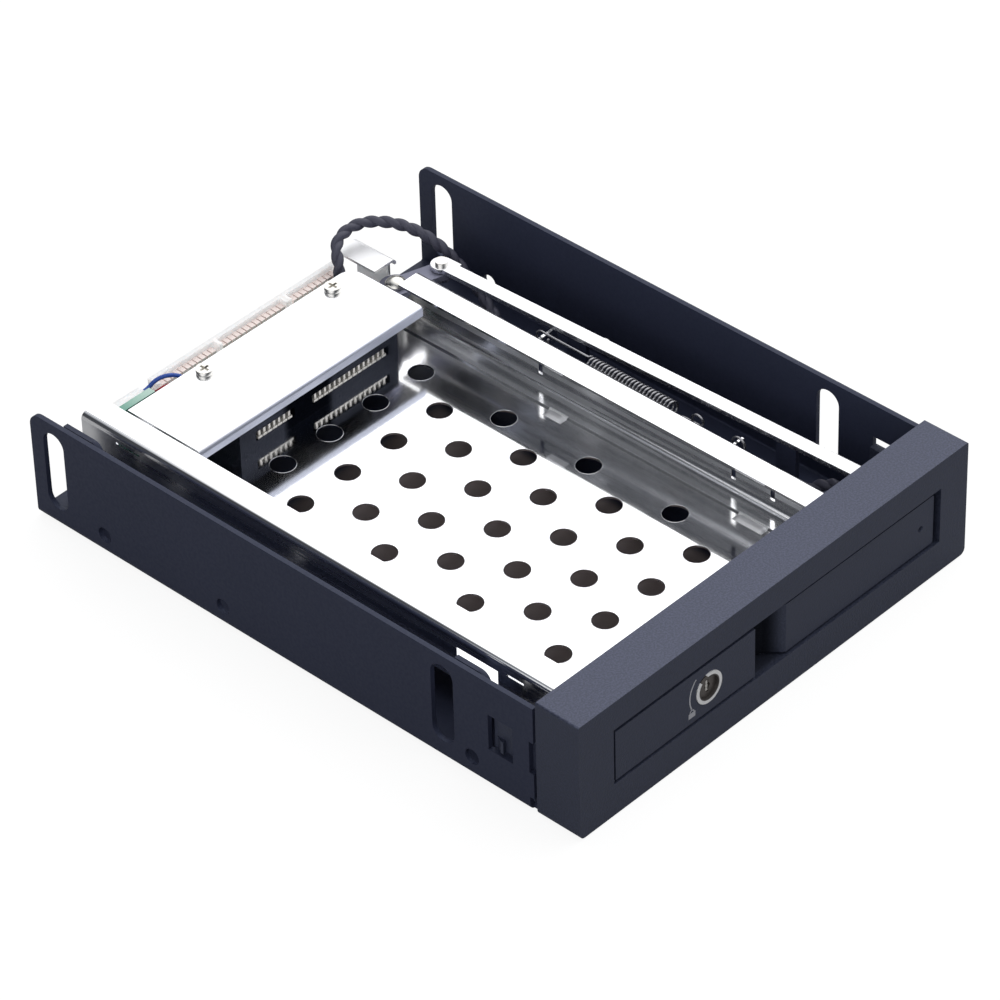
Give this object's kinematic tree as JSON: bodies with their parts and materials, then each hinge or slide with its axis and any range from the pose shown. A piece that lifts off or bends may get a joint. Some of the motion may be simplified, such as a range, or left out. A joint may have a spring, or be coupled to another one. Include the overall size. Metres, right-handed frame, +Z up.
{
  "type": "hard drive tray",
  "caption": "Tray-less drive rack: open black steel frame with a polished perforated cage, rear connector board, push-rod ejector and a lockable swing door in a plastic face.",
  "frame": {"origin": "middle of the rack's footprint, on the underside of the frame floor", "axes": "+Y from the face to the rear connector, +X to the push rod's side, +Z up"},
  "size_m": [0.1016, 0.1324, 0.025],
  "materials": {
    "black_steel": "satin black powder coat",
    "black_plastic": "fine matt moulded grain",
    "polished_steel": "mirror-polished stainless",
    "nickel": "bright nickel plate",
    "lock_bronze": "darkened bronze",
    "cover_steel": "bright sheet steel",
    "lever_steel": "darkened steel",
    "spring_steel": "drawn spring wire",
    "contact_metal": "plated contact metal",
    "copper_contact": "bare contact metal",
    "board_green": "green solder mask",
    "white_plastic": "natural white moulding",
    "lamp_clear": "clear lamp lens",
    "black_lead": "black insulation",
    "blue_lead": "blue insulation",
    "red_lead": "red insulation"
  },
  "bodies": {
    "rack": {"outer_frame": "black_steel", "drive_cage": "polished_steel", "cage_rivets": "nickel", "bezel": "black_plastic", "hinge_pins": "nickel", "lamp_lens": "lamp_clear", "lamp_board": "board_green", "connector_cover": "cover_steel", "cover_screws": "nickel", "drive_connector": "black_plastic", "signal_contacts": "contact_metal", "power_contacts": "contact_metal", "backplane_board": "board_green", "rear_power_socket": "white_plastic", "rear_data_socket": "white_plastic", "socket_contacts": "copper_contact", "board_header": "white_plastic", "lead_plug": "white_plastic", "lever_pivot": "nickel", "return_spring": "spring_steel", "lamp_lead": "black_lead", "blue_wire": "blue_lead", "red_wire": "red_lead"},
    "door": {"door": "black_plastic", "lock_ring": "nickel", "lock_nut": "nickel"},
    "lock": {"lock_barrel": "lock_bronze", "lock_cam": "nickel", "cam_screw": "nickel"},
    "rod": {"push_rod": "cover_steel", "rod_rivet": "nickel"},
    "lever": {"ejector_lever": "lever_steel"}
  },
  "joints": [
    {"name": "door_hinge", "type": "hinge", "parent": "rack", "child": "door", "pos_m": [0.0342, -0.06165, 0.0129], "axis": [0, 0, 1], "range_deg": [0, 90]},
    {"name": "lock_turn", "type": "hinge", "parent": "door", "child": "lock", "pos_m": [-0.018, -0.06225, 0.0128], "axis": [0, -1, 0], "range_deg": [0, 90]},
    {"name": "rod_slide", "type": "slide", "parent": "rack", "child": "rod", "axis": [-0.0366, 0.9993, 0], "range_m": [0, 0.006], "deforming": ["return_spring"]},
    {"name": "lever_turn", "type": "hinge", "parent": "rack", "child": "lever", "pos_m": [0.0278, 0.05135, 0.0141], "axis": [0, 0, 1], "range_deg": [0, 36.3]}
  ],
  "couplings": [
    {"joint": "rod_slide", "follows": "door_hinge", "m_per_rad": 0.0038197},
    {"joint": "lever_turn", "follows": "door_hinge", "ratio": 0.40333}
  ]
}
